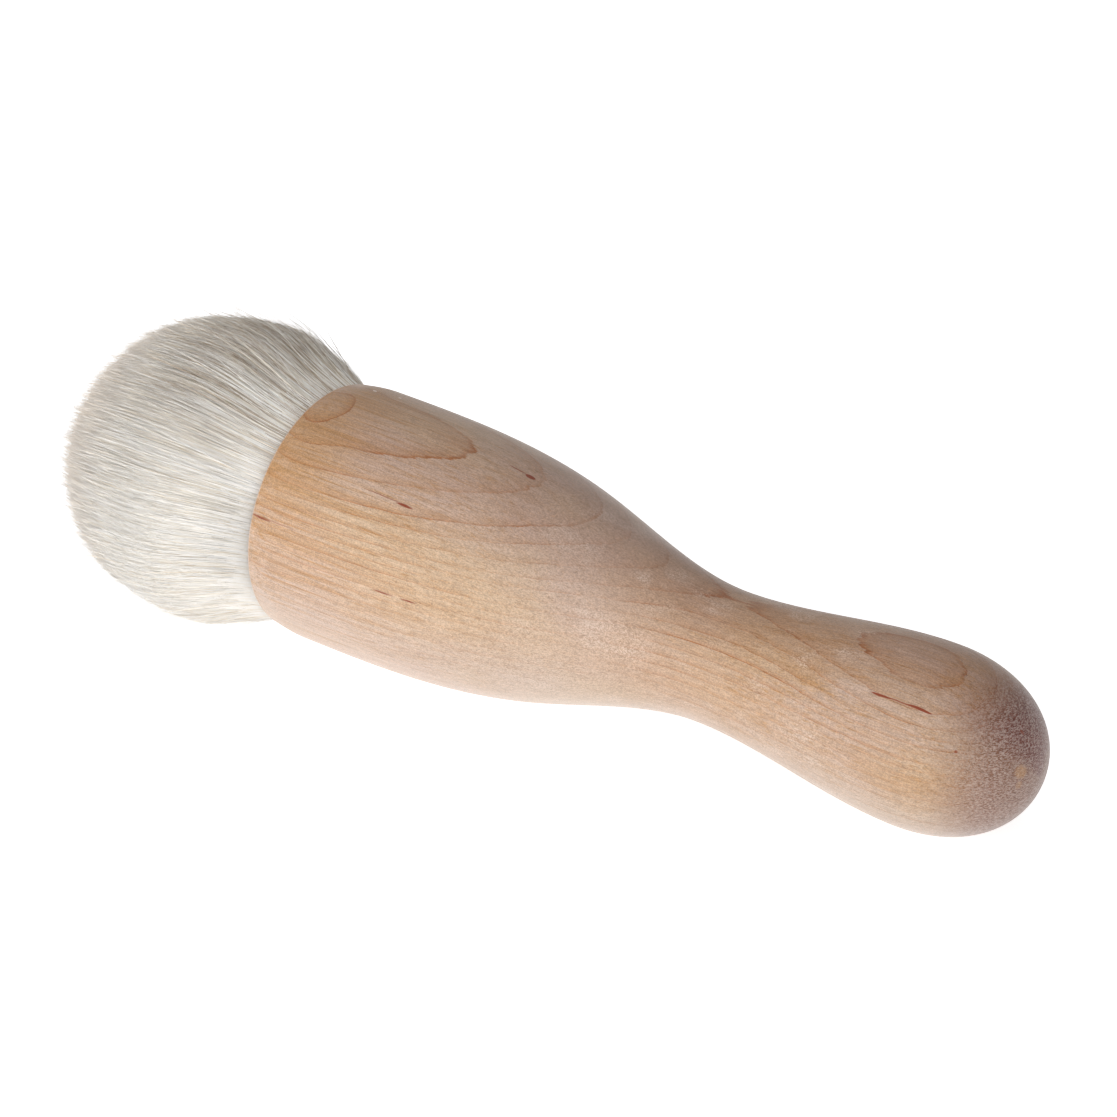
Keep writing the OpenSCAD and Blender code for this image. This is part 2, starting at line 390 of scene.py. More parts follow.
def finish_tree(maker, given, out, geometry):
    """The end of each tree: the piece is laid down, made plain mesh and given its material."""
    laid = maker.step(
        "GeometryNodeGroup", {"Geometry": geometry, **{name: given[name] for name in LAY_DOWN}},
        node_tree=bpy.data.node_groups.get("Lay down") or lay_down_tree(),
    )
    plain = maker.step("GeometryNodeRealizeInstances", {"Geometry": laid})
    finished = maker.step("GeometryNodeSetMaterial", {"Geometry": plain, "Material": given["Finish"]})
    maker.feed(out.inputs[0], finished)


def lathe_tree():
    """Turns an outline round the axis. The outline's x is the radius and its y is the distance along the axis."""
    maker, given, out = new_tree("Lathe", {
        "Outline": "Geometry",
        "Steps": "Int",
        "Crease": "Float",
        **LAY_DOWN,
        "Finish": "Material",
    })
    spindle = maker.step("GeometryNodeCurvePrimitiveCircle", {"Resolution": given["Steps"], "Radius": SPINDLE})
    level = maker.step("GeometryNodeSetCurveNormal", {"Curve": spindle}, mode="Z_UP")
    # Curve to Mesh lays the outline's y downwards on a level circle, so it is turned over first.
    outline = maker.step("GeometryNodeTransform", {"Geometry": given["Outline"], "Scale": (1, -1, 1)})
    turned = maker.step("GeometryNodeCurveToMesh", {"Curve": level, "Profile Curve": outline})
    closed = maker.step("GeometryNodeMergeByDistance", {"Geometry": turned, "Distance": WELD})
    outside = maker.step("GeometryNodeFlipFaces", {"Mesh": closed})
    smooth = maker.step("GeometryNodeSetShadeSmooth", {"Geometry": outside})
    angle = maker.add("GeometryNodeInputMeshEdgeAngle").outputs["Unsigned Angle"]
    crisp = maker.step(
        "FunctionNodeCompare", {0: angle, 1: given["Crease"]}, data_type="FLOAT", operation="LESS_THAN"
    )
    edged = maker.step(
        "GeometryNodeSetShadeSmooth", {"Geometry": smooth, "Shade Smooth": crisp}, domain="EDGE"
    )
    finish_tree(maker, given, out, edged)
    return maker.tree


def strand_tree():
    """Hairs that follow the flank of the head and end on the dome, from the mouth on or only their last stretch."""
    maker, given, out = new_tree("Hair strands", {
        **dict.fromkeys(("Count", "Joints", "Seed"), "Int"),
        **dict.fromkeys((
            "Hair Radius", "Blunt", "Bunched", "From Mouth", "End From", "End To", "First Angle", "Sector",
            "Lip At", "Lip Radius", "Fan Slope", "Wide At", "Wide Radius", "Dome Length", "Fullness", "Inward",
            "Short Hair", "Uneven", "Lock Width", "Furrow", "Stray",
        ), "Float"),
        **LAY_DOWN,
        "Finish": "Material",
    })
    larger, smaller, ramp, fade = maker.larger, maker.smaller, maker.ramp, maker.fade
    lip_at, wide_at, wide_r = given["Lip At"], given["Wide At"], given["Wide Radius"]
    dome_l, lock, stray = given["Dome Length"], given["Lock Width"], given["Stray"]

    # One thin cone is copied for each hair, and the cone's own height becomes the place along the hair.
    points = maker.step("GeometryNodePoints", {"Count": given["Count"]})
    cone = maker.step("GeometryNodeMeshCone", {
        "Vertices": 3, "Side Segments": given["Joints"], "Radius Top": 0.0, "Radius Bottom": 1.0, "Depth": 1.0,
    }, fill_type="NGON")
    copies = maker.step("GeometryNodeInstanceOnPoints", {"Points": points, "Instance": cone})
    hairs = maker.step("GeometryNodeRealizeInstances", {"Geometry": copies})
    corner_x, corner_y, height = maker.split(maker.step("GeometryNodeInputPosition"))
    along = 1 - (1 - height) ** given["Bunched"]
    index = Formula(maker, maker.step("GeometryNodeInputIndex"))
    hair = maker.math("FLOOR", (index + 0.5) / (given["Joints"] * 3 + 1))

    def chance(number):
        """A random number from 0 to 1 for each hair."""
        node = maker.add("FunctionNodeRandomValue", {"ID": hair, "Seed": given["Seed"] + number})
        return Formula(maker, node.outputs[1])

    def swell(angle, place, width, number):
        """Noise in streaks of this width along the hair, between -1 and 1. Each number gives another noise."""
        cosine, sine = maker.circle(angle)
        streak_at = place / (width * STREAK_LENGTH) + number
        where = maker.vector(cosine * wide_r / width, sine * wide_r / width, streak_at)
        return (maker.noise(where, 1.0, detail=1.0) - 0.5) * 3

    # Where the hair ends on the dome: 0 is the widest place, and 1 is the tip. Hairs of one lock end together.
    # A high power of a chance is nearly always small, so few hairs stick out, are cut short or stray.
    place = (hair + 0.5) / given["Count"]
    end = place * (given["End To"] - given["End From"]) + given["End From"]
    over = larger(end, 0.0)
    dome = wide_r * (1 - over ** given["Fullness"]) ** (1 / given["Fullness"])
    bent = wide_r * (1 - given["Inward"] * over * over)
    depth = chance(1) * chance(2)
    stick_out = chance(3) ** 9
    cut_short = chance(12) ** 14
    first = given["First Angle"] + given["Sector"] * maker.math("FRACT", hair * GOLDEN_SHARE)
    ends_at = end * dome_l * STREAK_LENGTH
    bunch = swell(first, ends_at, lock, 23.0) + swell(first, ends_at, lock * 2.6, 31.0)
    longer = (chance(4) ** 12 * 1.5 + 0.04 + bunch * 0.32) * given["Uneven"]
    tip_at = wide_at + end * dome_l + stick_out * stray + longer - cut_short * stray * 8
    root_at = lip_at - ROOT_IN
    start_at = root_at + (1 - given["From Mouth"]) * (tip_at - given["Short Hair"] - root_at)
    at = start_at + along * (tip_at - start_at)

    # The streamline: out from the lip to the widest place, and gently inward after it.
    fan = wide_at - lip_at
    t = smaller(larger((at - lip_at) / fan, 0.0), 1.0)
    flank = (
        given["Lip Radius"] * (t * t * (t * 2 - 3) + 1)
        + wide_r * (t * t * (3 - t * 2))
        + fan * given["Fan Slope"] * (t * (t - 1) * (t - 1))
        + smaller(at - lip_at, 0.0) * given["Fan Slope"]
    )
    past = larger(at - wide_at, 0.0) / dome_l
    free = larger(at - lip_at, 0.0)
    reach = free / (fan + dome_l)

    # Layers: deep hairs lie under the others. The hair parts into locks most on the upper side.
    parted = 0.06 + ramp(maker.math("COSINE", first), 0.45, 1.0)
    spread = smaller(reach * 1.5 + parted * 0.35, 1.0)
    layer = dome / bent * (1 - depth * spread * LAYER_DEPTH)
    radius = layer * (flank - wide_r * given["Inward"] * past * past)

    # Locks: hairs lean together, and sink between two locks. Single hairs cross them at a slant.
    open_up = ramp(free, 0.0, OPEN_OVER)
    lean = swell(first, at, lock * 2.2, 7.0) * 0.12 + swell(first, at, lock, 3.0) * 0.2
    slant = (chance(5) - 0.5) * (0.07 + chance(6) ** 4 * 0.36)
    angle = first + lean * parted * open_up * lock / wide_r + slant * reach
    fold = swell(angle, at, lock, 11.0)
    sink = fold * given["Furrow"] * open_up * (1 - reach * 0.7) * parted

    # Loose hairs lift toward their tips: a few far out, and the others only a little. The rest lies close.
    far_out = larger(chance(10) * LOOSE_HAIRS - LOOSE_HAIRS + 1, 0.0)
    loose = chance(7) ** 5 * 0.4 + far_out ** 4 * 2.4 + cut_short * 0.4 + larger(bunch, 0.0) * 0.3 * reach
    lift = (loose * along * along - 0.2) * stray * open_up
    radius = radius + sink + lift
    thick = given["Hair Radius"] * (0.75 + chance(8) * 0.5) * (1 + height * given["Blunt"])
    cosine, sine = maker.circle(angle)
    placed = maker.vector(cosine * radius + corner_x * thick, sine * radius + corner_y * thick, at)

    # What the hair's material needs to know: a random tone, how far out a place is, and how much shade it has.
    # Painted shade: deep hairs, hairs in the furrows between locks and some single hairs are painted darker, most
    # on the upper side.
    shade = parted * (0.3 + given["From Mouth"] * 0.7) * (
        ramp(depth, 0.01, 0.2) * 0.2 + fade(fold, -0.8, 0.2) * 0.08 + ramp(chance(11), 0.66, 0.74) * 0.85
    )
    for name, value in (("hair_tone", chance(9)), ("hair_reach", reach), ("hair_shade", shade)):
        hairs = maker.step(
            "GeometryNodeStoreNamedAttribute", {"Geometry": hairs, "Name": name, "Value": value},
            data_type="FLOAT", domain="POINT"
        )
    moved = maker.step("GeometryNodeSetPosition", {"Geometry": hairs, "Position": placed})
    finish_tree(maker, given, out, maker.step("GeometryNodeSetShadeSmooth", {"Geometry": moved}))
    return maker.tree


# Outlines


def slope_pull(start, end, slope):
    """A third of the way along in the distance, and as far out as the slope takes the radius."""
    third = (end - start) / 3
    return third, third * slope


class Outline:
    """Collects the points of a Bezier outline. A point is (radius, distance along the axis)."""

    def __init__(self, radius, along):
        self.points = [[(radius, along), None, None]]

    def reach(self, radius, along, leave=None, arrive=None):
        """Adds a stretch to a point. leave and arrive are its two handles, and without them it is straight."""
        self.points[-1][2] = leave
        self.points.append([(radius, along), arrive, None])

    def swell(self, radius, along, slope_here, slope_there):
        """A stretch whose radius follows a cubic in the distance, with these slopes at its ends."""
        r, z = self.points[-1][0]
        step, rise = slope_pull(z, along, slope_here)
        back, fall = slope_pull(z, along, slope_there)
        self.reach(radius, along, (r + rise, z + step), (radius - fall, along - back))

    def curve(self, name, rounds):
        """A curve object of these points."""
        data = bpy.data.curves.new(name, "CURVE")
        data.dimensions = "3D"
        data.resolution_u = rounds
        spline = data.splines.new("BEZIER")
        spline.bezier_points.add(len(self.points) - 1)
        spline.resolution_u = rounds
        for point, (at, arrive, leave) in zip(spline.bezier_points, self.points):
            point.handle_left_type = "FREE" if arrive else "VECTOR"
            point.handle_right_type = "FREE" if leave else "VECTOR"
            point.co = (*at, 0)
            if arrive:
                point.handle_left = (*arrive, 0)
            if leave:
                point.handle_right = (*leave, 0)
        piece = bpy.data.objects.new(name, data)
        bpy.context.scene.collection.objects.link(piece)
        return piece


def cap_pull(fullness):
    """How far a Bezier handle reaches so that a quarter of a superellipse passes through its own middle."""
    return (8 * 0.5 ** (1 / fullness) - 4) / 3


def tail_end(handle):
    """The tail end of the brush where it lies."""
    return Vector(WAIST["pos_m"]) - AXIS * handle.neck_at


def laid_down(handle, hair, droops):
    """Values of the inputs that lay a piece down. Wood doesn't droop or give way."""
    return {
        "Tail": tail_end(handle),
        "Turn": Vector(LIE_TURN),
        "Mouth": handle.length,
        "Free Length": hair.out,
        "Droop": hair.droop if droops else 0.0,
        "Softness": hair.softness if droops else 0.0,
    }


def lip_point(handle, hair):
    """Where the hair leaves the rounded lip: (distance along the axis, radius)."""
    lean = math.atan(hair.fan_slope)
    round_r = handle.lip_t / 2
    reach = round_r + hair.gap
    return (
        handle.length - round_r + reach * math.sin(lean),
        handle.mouth_d / 2 - round_r - reach * math.cos(lean),
    )


def handle_outline(handle):
    """The turned outside, the rounded lip, the flare, the socket and the drill's mark."""
    tail_r, neck_r, flank_r = handle.tail_d / 2, handle.neck_d / 2, handle.flank_d / 2
    belly_r, mouth_r, socket_r = handle.belly_d / 2, handle.mouth_d / 2, handle.socket_d / 2
    round_r = handle.lip_t / 2
    lip_at = handle.length - round_r
    pull = cap_pull(handle.tail_fullness)
    outline = Outline(0, 0)
    outline.reach(tail_r, handle.tail_at, (tail_r * pull, 0), (tail_r, handle.tail_at * (1 - pull)))
    outline.swell(neck_r, handle.neck_at, 0, 0)
    outline.swell(flank_r, handle.flank_at, 0, handle.flank_slope)
    outline.swell(belly_r, handle.length - handle.belly_back, handle.flank_slope, 0)
    outline.swell(mouth_r, lip_at, 0, -handle.lip_slope)
    bow = round_r * ROUND_PULL
    middle = mouth_r - round_r
    outline.reach(middle, handle.length, (mouth_r, lip_at + bow), (middle + bow, handle.length))
    outline.reach(middle - round_r, lip_at, (middle - bow, handle.length), (middle - round_r, lip_at + bow))
    outline.reach(socket_r, handle.length - handle.flare_l)
    floor_at = handle.length - handle.socket_depth
    outline.reach(socket_r, floor_at)
    outline.reach(handle.dimple_d / 2, floor_at)
    outline.reach(0, floor_at - handle.dimple_depth)
    return outline


def core_outline(handle, hair):
    """The dense inside of the hair: its roots in the socket, the tied waist, the flank and the dome."""
    lip_at, lip_r = lip_point(handle, hair)
    wide_at = handle.length + hair.head_at
    wide_r = hair.head_d / 2 - hair.core_depth
    tip_at = handle.length + hair.out - hair.core_depth
    pull = cap_pull(hair.fullness)
    outline = Outline(0, hair.root_at)
    outline.reach(hair.root_r, hair.root_at)
    outline.reach(hair.tie_r, hair.tie_from)
    outline.reach(hair.tie_r, hair.tie_to)
    outline.reach(hair.root_r, handle.length - handle.flare_l - (hair.tie_to - hair.tie_from) / 2)
    outline.reach(hair.root_r, handle.length - handle.flare_l)
    outline.reach(lip_r - hair.gap * CORE_GAPS, lip_at)
    outline.swell(wide_r, wide_at, hair.fan_slope * CORE_FAN, 0)
    dome = tip_at - wide_at
    outline.reach(0, tip_at, (wide_r, wide_at + dome * pull), (wide_r * pull, tip_at))
    return outline


# Materials


def new_material(name, roughness, **constants):
    """A material with one Principled shader. Returns it with its maker and shader."""
    material = bpy.data.materials.new(name)
    material.use_nodes = True
    material.node_tree.nodes.clear()
    maker = Maker(material.node_tree)
    shader = maker.add("ShaderNodeBsdfPrincipled", {"Roughness": roughness, **constants})
    maker.add("ShaderNodeOutputMaterial", {"Surface": shader.outputs[0]})
    return material, maker, shader


def upright_mm(maker, handle):
    """The brush's own upright coordinates in millimetres, from the tail end."""
    return maker.split(maker.step("ShaderNodeMapping", {
        "Vector": maker.add("ShaderNodeTexCoord").outputs["Object"],
        "Location": tail_end(handle),
        "Rotation": LIE_TURN,
        "Scale": (MM, MM, MM),
    }, vector_type="TEXTURE"))


# Growth rings are level planes in the lying wood. Their heights over the axis are in mm.
RING_HEIGHTS = (8.85, 10.4, 12.17, 13.58, 15.9, 17.7, 19.33)
RING_TILT = 0.0175  # Fall of the planes toward the mouth. It is nil at the neck.
RING_LEAN = 0.2  # Fall toward the viewer, at both ends of the wood.
RING_STEP = 1.3  # Distance between the rings that aren't listed.
RING_SPAN = 20.0  # Rings are worked out as far as this over and under the axis.

# Places on the wood: distance from the tail end, degrees from the top toward the viewer, half length and half
# width, in mm. The dusty patch adds the radius there, and mineral streaks add how dark they are.
PATCH = (55.2, 72.0, 6.0, 3.2, 10.5)
CHIPS = ((103.3, -11.8, 0.35, 0.25), (99.8, -14.6, 0.25, 0.2))
FLECKS = (
    (106.2, 72.5, 2.2, 0.20, 1.1),
    (103.0, 72.0, 3.5, 0.10, 0.5),
    (86.5, 45.5, 1.5, 0.22, 1.6),
    (89.5, 44.9, 4.5, 0.09, 0.8),
    (75.0, 4.0, 0.9, 0.40, 2.2),
    (77.0, 3.6, 1.8, 0.13, 1.2),
    (85.8, 84.7, 1.9, 0.16, 1.0),
    (82.1, 84.5, 1.5, 0.15, 1.1),
    (18.3, 45.1, 1.6, 0.18, 1.8),
    (12.9, 44.4, 1.9, 0.20, 2.0),
    (15.5, 44.8, 4.0, 0.11, 1.0),
    (7.2, 60.9, 0.25, 0.25, 0.8),
    (2.3, 14.9, 0.3, 0.25, 0.8),
)

# Prints of the lathe's centre on the tail end: over the axis, in front of it, radius in mm, strength.
CENTRE_PRINTS = ((2.16, 3.57, 0.9, 0.42), (0.53, 3.87, 0.5, 0.3))


def count_rings(maker, height):
    """How many growth rings lie under this height, with a share of the next one. The curve holds their heights."""
    below = (RING_SPAN + RING_HEIGHTS[0]) / RING_STEP
    total = below + len(RING_HEIGHTS)
    curve = maker.add("ShaderNodeFloatCurve", {"Value": height / (2 * RING_SPAN) + 0.5})
    points = curve.mapping.curves[0].points
    marks = [(-RING_SPAN, 0.0)] + [(at, below + n) for n, at in enumerate(RING_HEIGHTS)] + [(RING_SPAN, total)]
    while len(points) < len(marks):
        points.new(0.5, 0.5)
    for point, (at, count) in zip(points, marks):
        point.location = (at / (2 * RING_SPAN) + 0.5, count / total)
        point.handle_type = "VECTOR"
    curve.mapping.update()
    return Formula(maker, curve.outputs[0]) * total - (below - math.floor(below))


def wood_material(handle):
    """Sanded, unvarnished pale hardwood: growth rings, fibres, mineral streaks and cut ends."""
    material, maker, shader = new_material("sanded_wood", 0.55, **{
        "Specular IOR Level": 0.35, "Sheen Weight": 0.45, "Sheen Roughness": 0.4,
    })
    ramp, fade, band, paint = maker.ramp, maker.fade, maker.band, maker.paint
    # In mm: x is over the axis, and z runs from the tail end at 0, past the neck at 45, to the mouth at 108.
    x, y, z = upright_mm(maker, handle)
    angle = maker.math("ARCTAN2", -y, x)
    upward = maker.math("COSINE", angle)
    outside = maker.math("SQRT", x * x + y * y)

    def grain(across, along, detail=2.0, number=0.0, roughness=0.5):
        """Noise with this many features for each mm across the fibres and along them."""
        where = maker.vector(x * across + number, y * across, z * along)
        return maker.noise(where, 1.0, detail, roughness) - 0.5

    def oval(at, degrees, half_length, half_width, radius=outside, wander=0.0):
        """0 in the middle of an oval on the wood, and 1 at its edge."""
        side = (angle - math.radians(degrees)) * radius + wander
        return ((z - at) / half_length) ** 2 + (side / half_width) ** 2

    # Height in the tree, warped as the fibres are. The planes bend at the mouth, and a little at the tail.
    warp = grain(0.05, 0.022, 1.0) * 1.2 + grain(0.5, 0.03, 2.0, 5.0) * 0.4 + grain(3.2, 0.06, 3.0, 5.0, 0.6) * 0.3
    warp = warp * (1 - ramp(z, 86.0, 100.0) * 0.65)
    lean = (ramp(z, 45.0, 108.0) + fade(z, 10.0, 42.0)) * RING_LEAN * ramp(upward, 0.1, 0.75)
    height = x - y * lean + (z - handle.neck_at / MM) * RING_TILT + warp
    mouth_bend = ramp(z, 98.0, 108.0) * ramp(height, 16.5, 18.4) * 1.15
    tail_bend = fade(z, 20.0, 45.0) * 0.4
    height = height + mouth_bend - tail_bend

    # Growth rings: a dark line, and a glow that fades beside it. They are plainest at the ends and on top.
    ring = count_rings(maker, height)
    part = maker.math("FRACT", ring)
    number = {"W": maker.math("FLOOR", ring)}
    tone = Formula(maker, maker.step("ShaderNodeTexWhiteNoise", number, noise_dimensions="1D"))
    near_mouth = ramp(z, 50.0, 98.0)
    near_tail = fade(z, 26.0, 62.0)
    ends = maker.larger(near_mouth, near_tail)
    patchy = ramp(grain(0.40, 0.035, 3.0, 9.0), -0.12, 0.22)
    line = band(part, 0.0, 0.012, 0.02, 0.10)
    glow = ramp(part, 0.0, 0.02) * fade(part, 0.0, 0.7) ** 2
    upper = ramp(height, -4.0, 9.0)
    near_neck = band(z, 30.0, 43.0, 47.0, 60.0) * upper + ramp(height, 16.5, 17.5)
    strength = 0.54 + ends * 0.48 + near_tail * upper * 0.5 + near_neck * 0.8
    strength = strength * (0.17 + upper * 0.35 + patchy * 0.88) * (0.55 + tone * 0.6)
    rings = (line * (0.1 + upper * 0.42) + glow * 0.24) * strength

    # Fibres: broad streaks, thin streaks, and the speckle that sanding leaves.
    broad = ramp(grain(0.07, 0.035, 2.0, 12.0), -0.2, 0.2)
    streak = ramp(grain(1.15, 0.022, 3.0, 2.0, 0.6), -0.12, 0.2)
    threads = ramp(grain(4.6, 0.07, 3.0, 21.0, 0.65), 0.0, 0.2)
    fine = ramp(grain(7.0, 0.6, 2.0, 4.0, 0.6), -0.2, 0.2)
    speck = ramp(grain(6.0, 4.2, 3.0, 6.0, 0.85), -0.14, 0.14)

    # Both ends are more orange than the neck. Low on the sides the wood is painted greyer, a painted reflection of
    # the pale floor.
    at_ends = (near_mouth + near_tail * 0.75) * (0.1 + glow * 0.22 + streak * 0.42 + threads * 0.55)
    at_lip = ramp(z, 92.0, 105.0) * ramp(x, 0.0, 13.0) * 0.5
    at_tail = near_tail * ramp(grain(0.12, 0.05, 2.0, 17.0), 0.0, 0.2) * 0.35
    at_neck = band(z, 20.0, 40.0, 50.0, 66.0) * 0.3
    warmth = at_ends + threads * 0.15 + at_lip + at_tail + at_neck
    # Painted reflection of the pale floor: greyer low on the sides, less so near the mouth.
    low = fade(x, -9.0, 3.0) * (0.42 - near_mouth * 0.14)
    light = 0.56 - streak * 0.05 - threads * 0.07 + fine * 0.20 + speck * (0.32 + ends * 0.05)
    tint = paint(broad, handle.pale, handle.rosy)
    tint = paint(maker.smaller(warmth, 1.0), tint, handle.warm)
    tint = paint(maker.smaller(rings, 1.0), tint, handle.line)
    tint = paint(low, tint, handle.painted_floor_reflection)
    # Near the tail the wood is painted a little darker: painted shade.
    tint = maker.darken(tint, light * (1 - near_tail * 0.06))

    # Where the cut crosses the fibres, their torn ends look dusty, and so do one patch and worn places.
    normal = maker.add("ShaderNodeNewGeometry").outputs["Normal"]
    facing = maker.add("ShaderNodeVectorMath", {0: normal, 1: AXIS}, operation="DOT_PRODUCT").outputs["Value"]
    torn = ramp(maker.math("ABSOLUTE", facing), 0.17, 0.75)
    dots = ramp(maker.noise(maker.vector((x + warp) * 8.0, y * 2.2, z * 2.6), 1.0, 3.0, 0.8), 0.42, 0.62)
    # The end grain at the tail is painted darker, partly its own colour and partly painted shade. The top of the
    # wood is painted darker and rosier: painted shade.
    end_grain = torn * fade(z, 9.0, 20.0)
    top = ramp(upward, 0.55, 0.97) * (1 - ramp(z, 60.0, 92.0) * 0.5)
    end_grain_and_painted_shade = maker.vector(*(
        1 - end_grain * at_end - top * painted_shade_on_top for at_end, painted_shade_on_top in ((0.60, 0.15), (0.75, 0.21), (0.79, 0.20))
    ))
    tint = paint(1.0, tint, end_grain_and_painted_shade, "MULTIPLY")
    patch = fade(oval(*PATCH), 0.0, 1.2) * (0.15 + patchy * 0.55)
    worn = ramp(grain(0.3, 0.16, 3.0, 31.0), 0.0, 0.22) * band(z, 14.0, 30.0, 60.0, 75.0)
    dusty = torn * (0.03 + dots * (0.5 - end_grain * 0.12)) + (patch + worn * 0.55) * (0.02 + speck * speck * 0.75)
    tint = paint(dusty, tint, handle.dust)

    # Prints of the lathe's centre on the tail, chips near the lip, and mineral streaks.
    for above, aside, size, strength in CENTRE_PRINTS:
        off = ((x - above) ** 2 + (y + aside) ** 2) / size ** 2
        pressed = fade(off, 0.2, 1.4) * fade(z, 3.0, 5.0) * strength * (0.5 + speck)
        tint = paint(pressed, tint, handle.warm)
    for chip in CHIPS:
        tint = paint(fade(oval(*chip), 0.5, 1.1), tint, handle.dust)
    wander = grain(0.5, 0.4, 2.0, 15.0) * 0.25
    dark = 0.0
    for *place, depth in FLECKS:
        dark = fade(oval(*place, wander=wander), 0.1, 1.0) * depth * (0.6 + fine * 0.5) + dark
    tint = paint(maker.smaller(dark, 1.0), tint, handle.fleck)
    maker.feed(shader.inputs["Base Color"], tint)
    maker.feed(shader.inputs["Roughness"], 0.5 + speck * 0.12)
    maker.bump(shader, 0.2, 0.0001, threads * 0.2 + fine * 0.3 + speck * 0.5 + dots * torn * 0.5 - rings * 0.1)
    return material


def hair_material(handle, hair):
    """Single hairs: mostly white, some cream, tan at their tips and darker where they lie in shade."""
    material, maker, shader = new_material("goat_hair", 0.5, **{
        "Specular IOR Level": 0.4, "Sheen Weight": 0.1, "Sheen Roughness": 0.5,
    })
    ramp, fade, paint = maker.ramp, maker.fade, maker.paint
    tone, reach, shade = (
        Formula(maker, maker.add("ShaderNodeAttribute", attribute_name=name).outputs["Fac"])
        for name in ("hair_tone", "hair_reach", "hair_shade")
    )
    x = upright_mm(maker, handle)[0]  # Height over the axis.
    above = ramp(x, 0.0, 13.0)
    # Painted shade: the upper side gets more tan hair and more of the painted shade colour.
    tone = tone - above * ramp(reach, 0.1, 0.6) * 0.12
    tint = paint(ramp(tone, 0.02, 0.12), hair.tan, hair.cream)
    tint = paint(ramp(tone, 0.15, 0.55), tint, hair.white)
    tint = paint(maker.smaller(shade * (0.48 + above * 0.38), 0.95), tint, hair.shade)
    # The tips are painted tan, partly their own tone and partly painted shade at the dome's end.
    tint = paint(ramp(reach, 0.5, 1.0) * 0.8, tint, hair.tip)

    # The hair is crowded at the lip, and less light gets in there and low on the sides.
    beside = (0.16 + ramp(x, -12.0, -2.0) * 0.2) * fade(x, 3.0, 13.0)
    crowded = fade(reach, 0.01, 0.24) * beside
    tint = maker.darken(tint, (1 - crowded) * ramp(x, -16.0, 0.0, 0.95, 1.0))
    maker.feed(shader.inputs["Base Color"], tint)
    maker.feed(shader.inputs["Roughness"], 0.42 + ramp(reach, 0.3, 1.0) * 0.2)
    return material


def core_material(handle, hair):
    """The dense inside of the hair, as fine streaks along it, painted darker on the upper flank as painted shade.
    """
    material, maker, shader = new_material("packed_hair", 0.7, **{"Specular IOR Level": 0.2})
    x, y, z = upright_mm(maker, handle)
    cosine, sine = maker.circle(maker.math("ARCTAN2", y, x))
    streaks = maker.noise(maker.vector(cosine * 60, sine * 60, z * 0.12), 1.0, 4.0, 0.65)
    light = maker.ramp(streaks, 0.3, 0.7)
    wide_at = (handle.length + hair.head_at) / MM
    # Painted shade: the core's upper flank is painted darker with the inner hair colour.
    painted_upper_shade = maker.ramp(x, 0.0, 18.0) * maker.fade(z, wide_at, wide_at + 10.0)
    tint = maker.paint(light * 0.5 + 0.5, hair.tip, hair.white)
    tint = maker.paint(painted_upper_shade * (1 - light * 0.5), tint, hair.shade)
    maker.feed(shader.inputs["Base Color"], tint)
    maker.bump(shader, 0.6, 0.0002, light)
    return material


def thread_material(handle):
    """Waxed cotton, with the slanted lines of its twist."""
    material, maker, shader = new_material("waxed_thread", 0.5, **{"Specular IOR Level": 0.4})
    x, y, z = upright_mm(maker, handle)
    twist = maker.math("SINE", maker.math("ARCTAN2", y, x) * 120 + z * 9)
    fuzz = maker.noise(maker.vector(x * 3, y * 3, z * 3), 1.0, 3.0)
    light = maker.ramp(twist * 0.5 + fuzz, 0.0, 1.0)
    maker.feed(shader.inputs["Base Color"], maker.paint(light, (0.42, 0.36, 0.26), (0.68, 0.62, 0.50)))
    maker.bump(shader, 0.5, 0.0001, light)
    return material


def cast_material(handle, name, dark, pale, roughness):
    """Something that set in the socket, such as resin or glue: cloudy, with small pits."""
    material, maker, shader = new_material(name, roughness)
    x, y, z = upright_mm(maker, handle)
    clouds = maker.noise(maker.vector(x * 0.4, y * 0.4, z * 0.4), 1.0, 3.0)
    pits = maker.noise(maker.vector(x * 3, y * 3, z * 3), 1.0, 2.0)
    maker.feed(shader.inputs["Base Color"], maker.paint(maker.ramp(clouds, 0.3, 0.7), dark, pale))
    maker.feed(shader.inputs["Roughness"], roughness + maker.ramp(pits, 0.3, 0.7) * 0.15)
    maker.bump(shader, 0.3, 0.0001, pits)
    return material


# Operators


class BRUSH_OT_handle(bpy.types.Operator):
    """Turn the wooden handle with its drilled, flared and rounded mouth"""

    bl_idname = "brush.handle"
    bl_label = "Handle"

    def execute(self, context):
        handle, hair = context.scene.brush_handle, context.scene.brush_hair
        piece = handle_outline(handle).curve("turned_handle", handle.rounds)
        made = run_tree(piece, lathe_tree(), {
            "Steps": handle.turns,
            "Crease": math.radians(30),
            **laid_down(handle, hair, droops=False),
            "Finish": wood_material(handle),
        })
        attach(made, BODY)
        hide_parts("handle")
        return {"FINISHED"}


class BRUSH_OT_hair_core(bpy.types.Operator):
    """Make the dense inside of the hair, with its tied roots in the socket"""

    bl_idname = "brush.hair_core"
    bl_label = "Hair core"

    def execute(self, context):
        handle, hair = context.scene.brush_handle, context.scene.brush_hair
        piece = core_outline(handle, hair).curve("hair_core", hair.core_rounds)
        made = run_tree(piece, bpy.data.node_groups.get("Lathe") or lathe_tree(), {
            "Steps": hair.core_turns,
            "Crease": math.radians(50),
            **laid_down(handle, hair, droops=True),
            "Finish": core_material(handle, hair),
        })
        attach(made, BODY)
        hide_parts("hair_head")
        return {"FINISHED"}


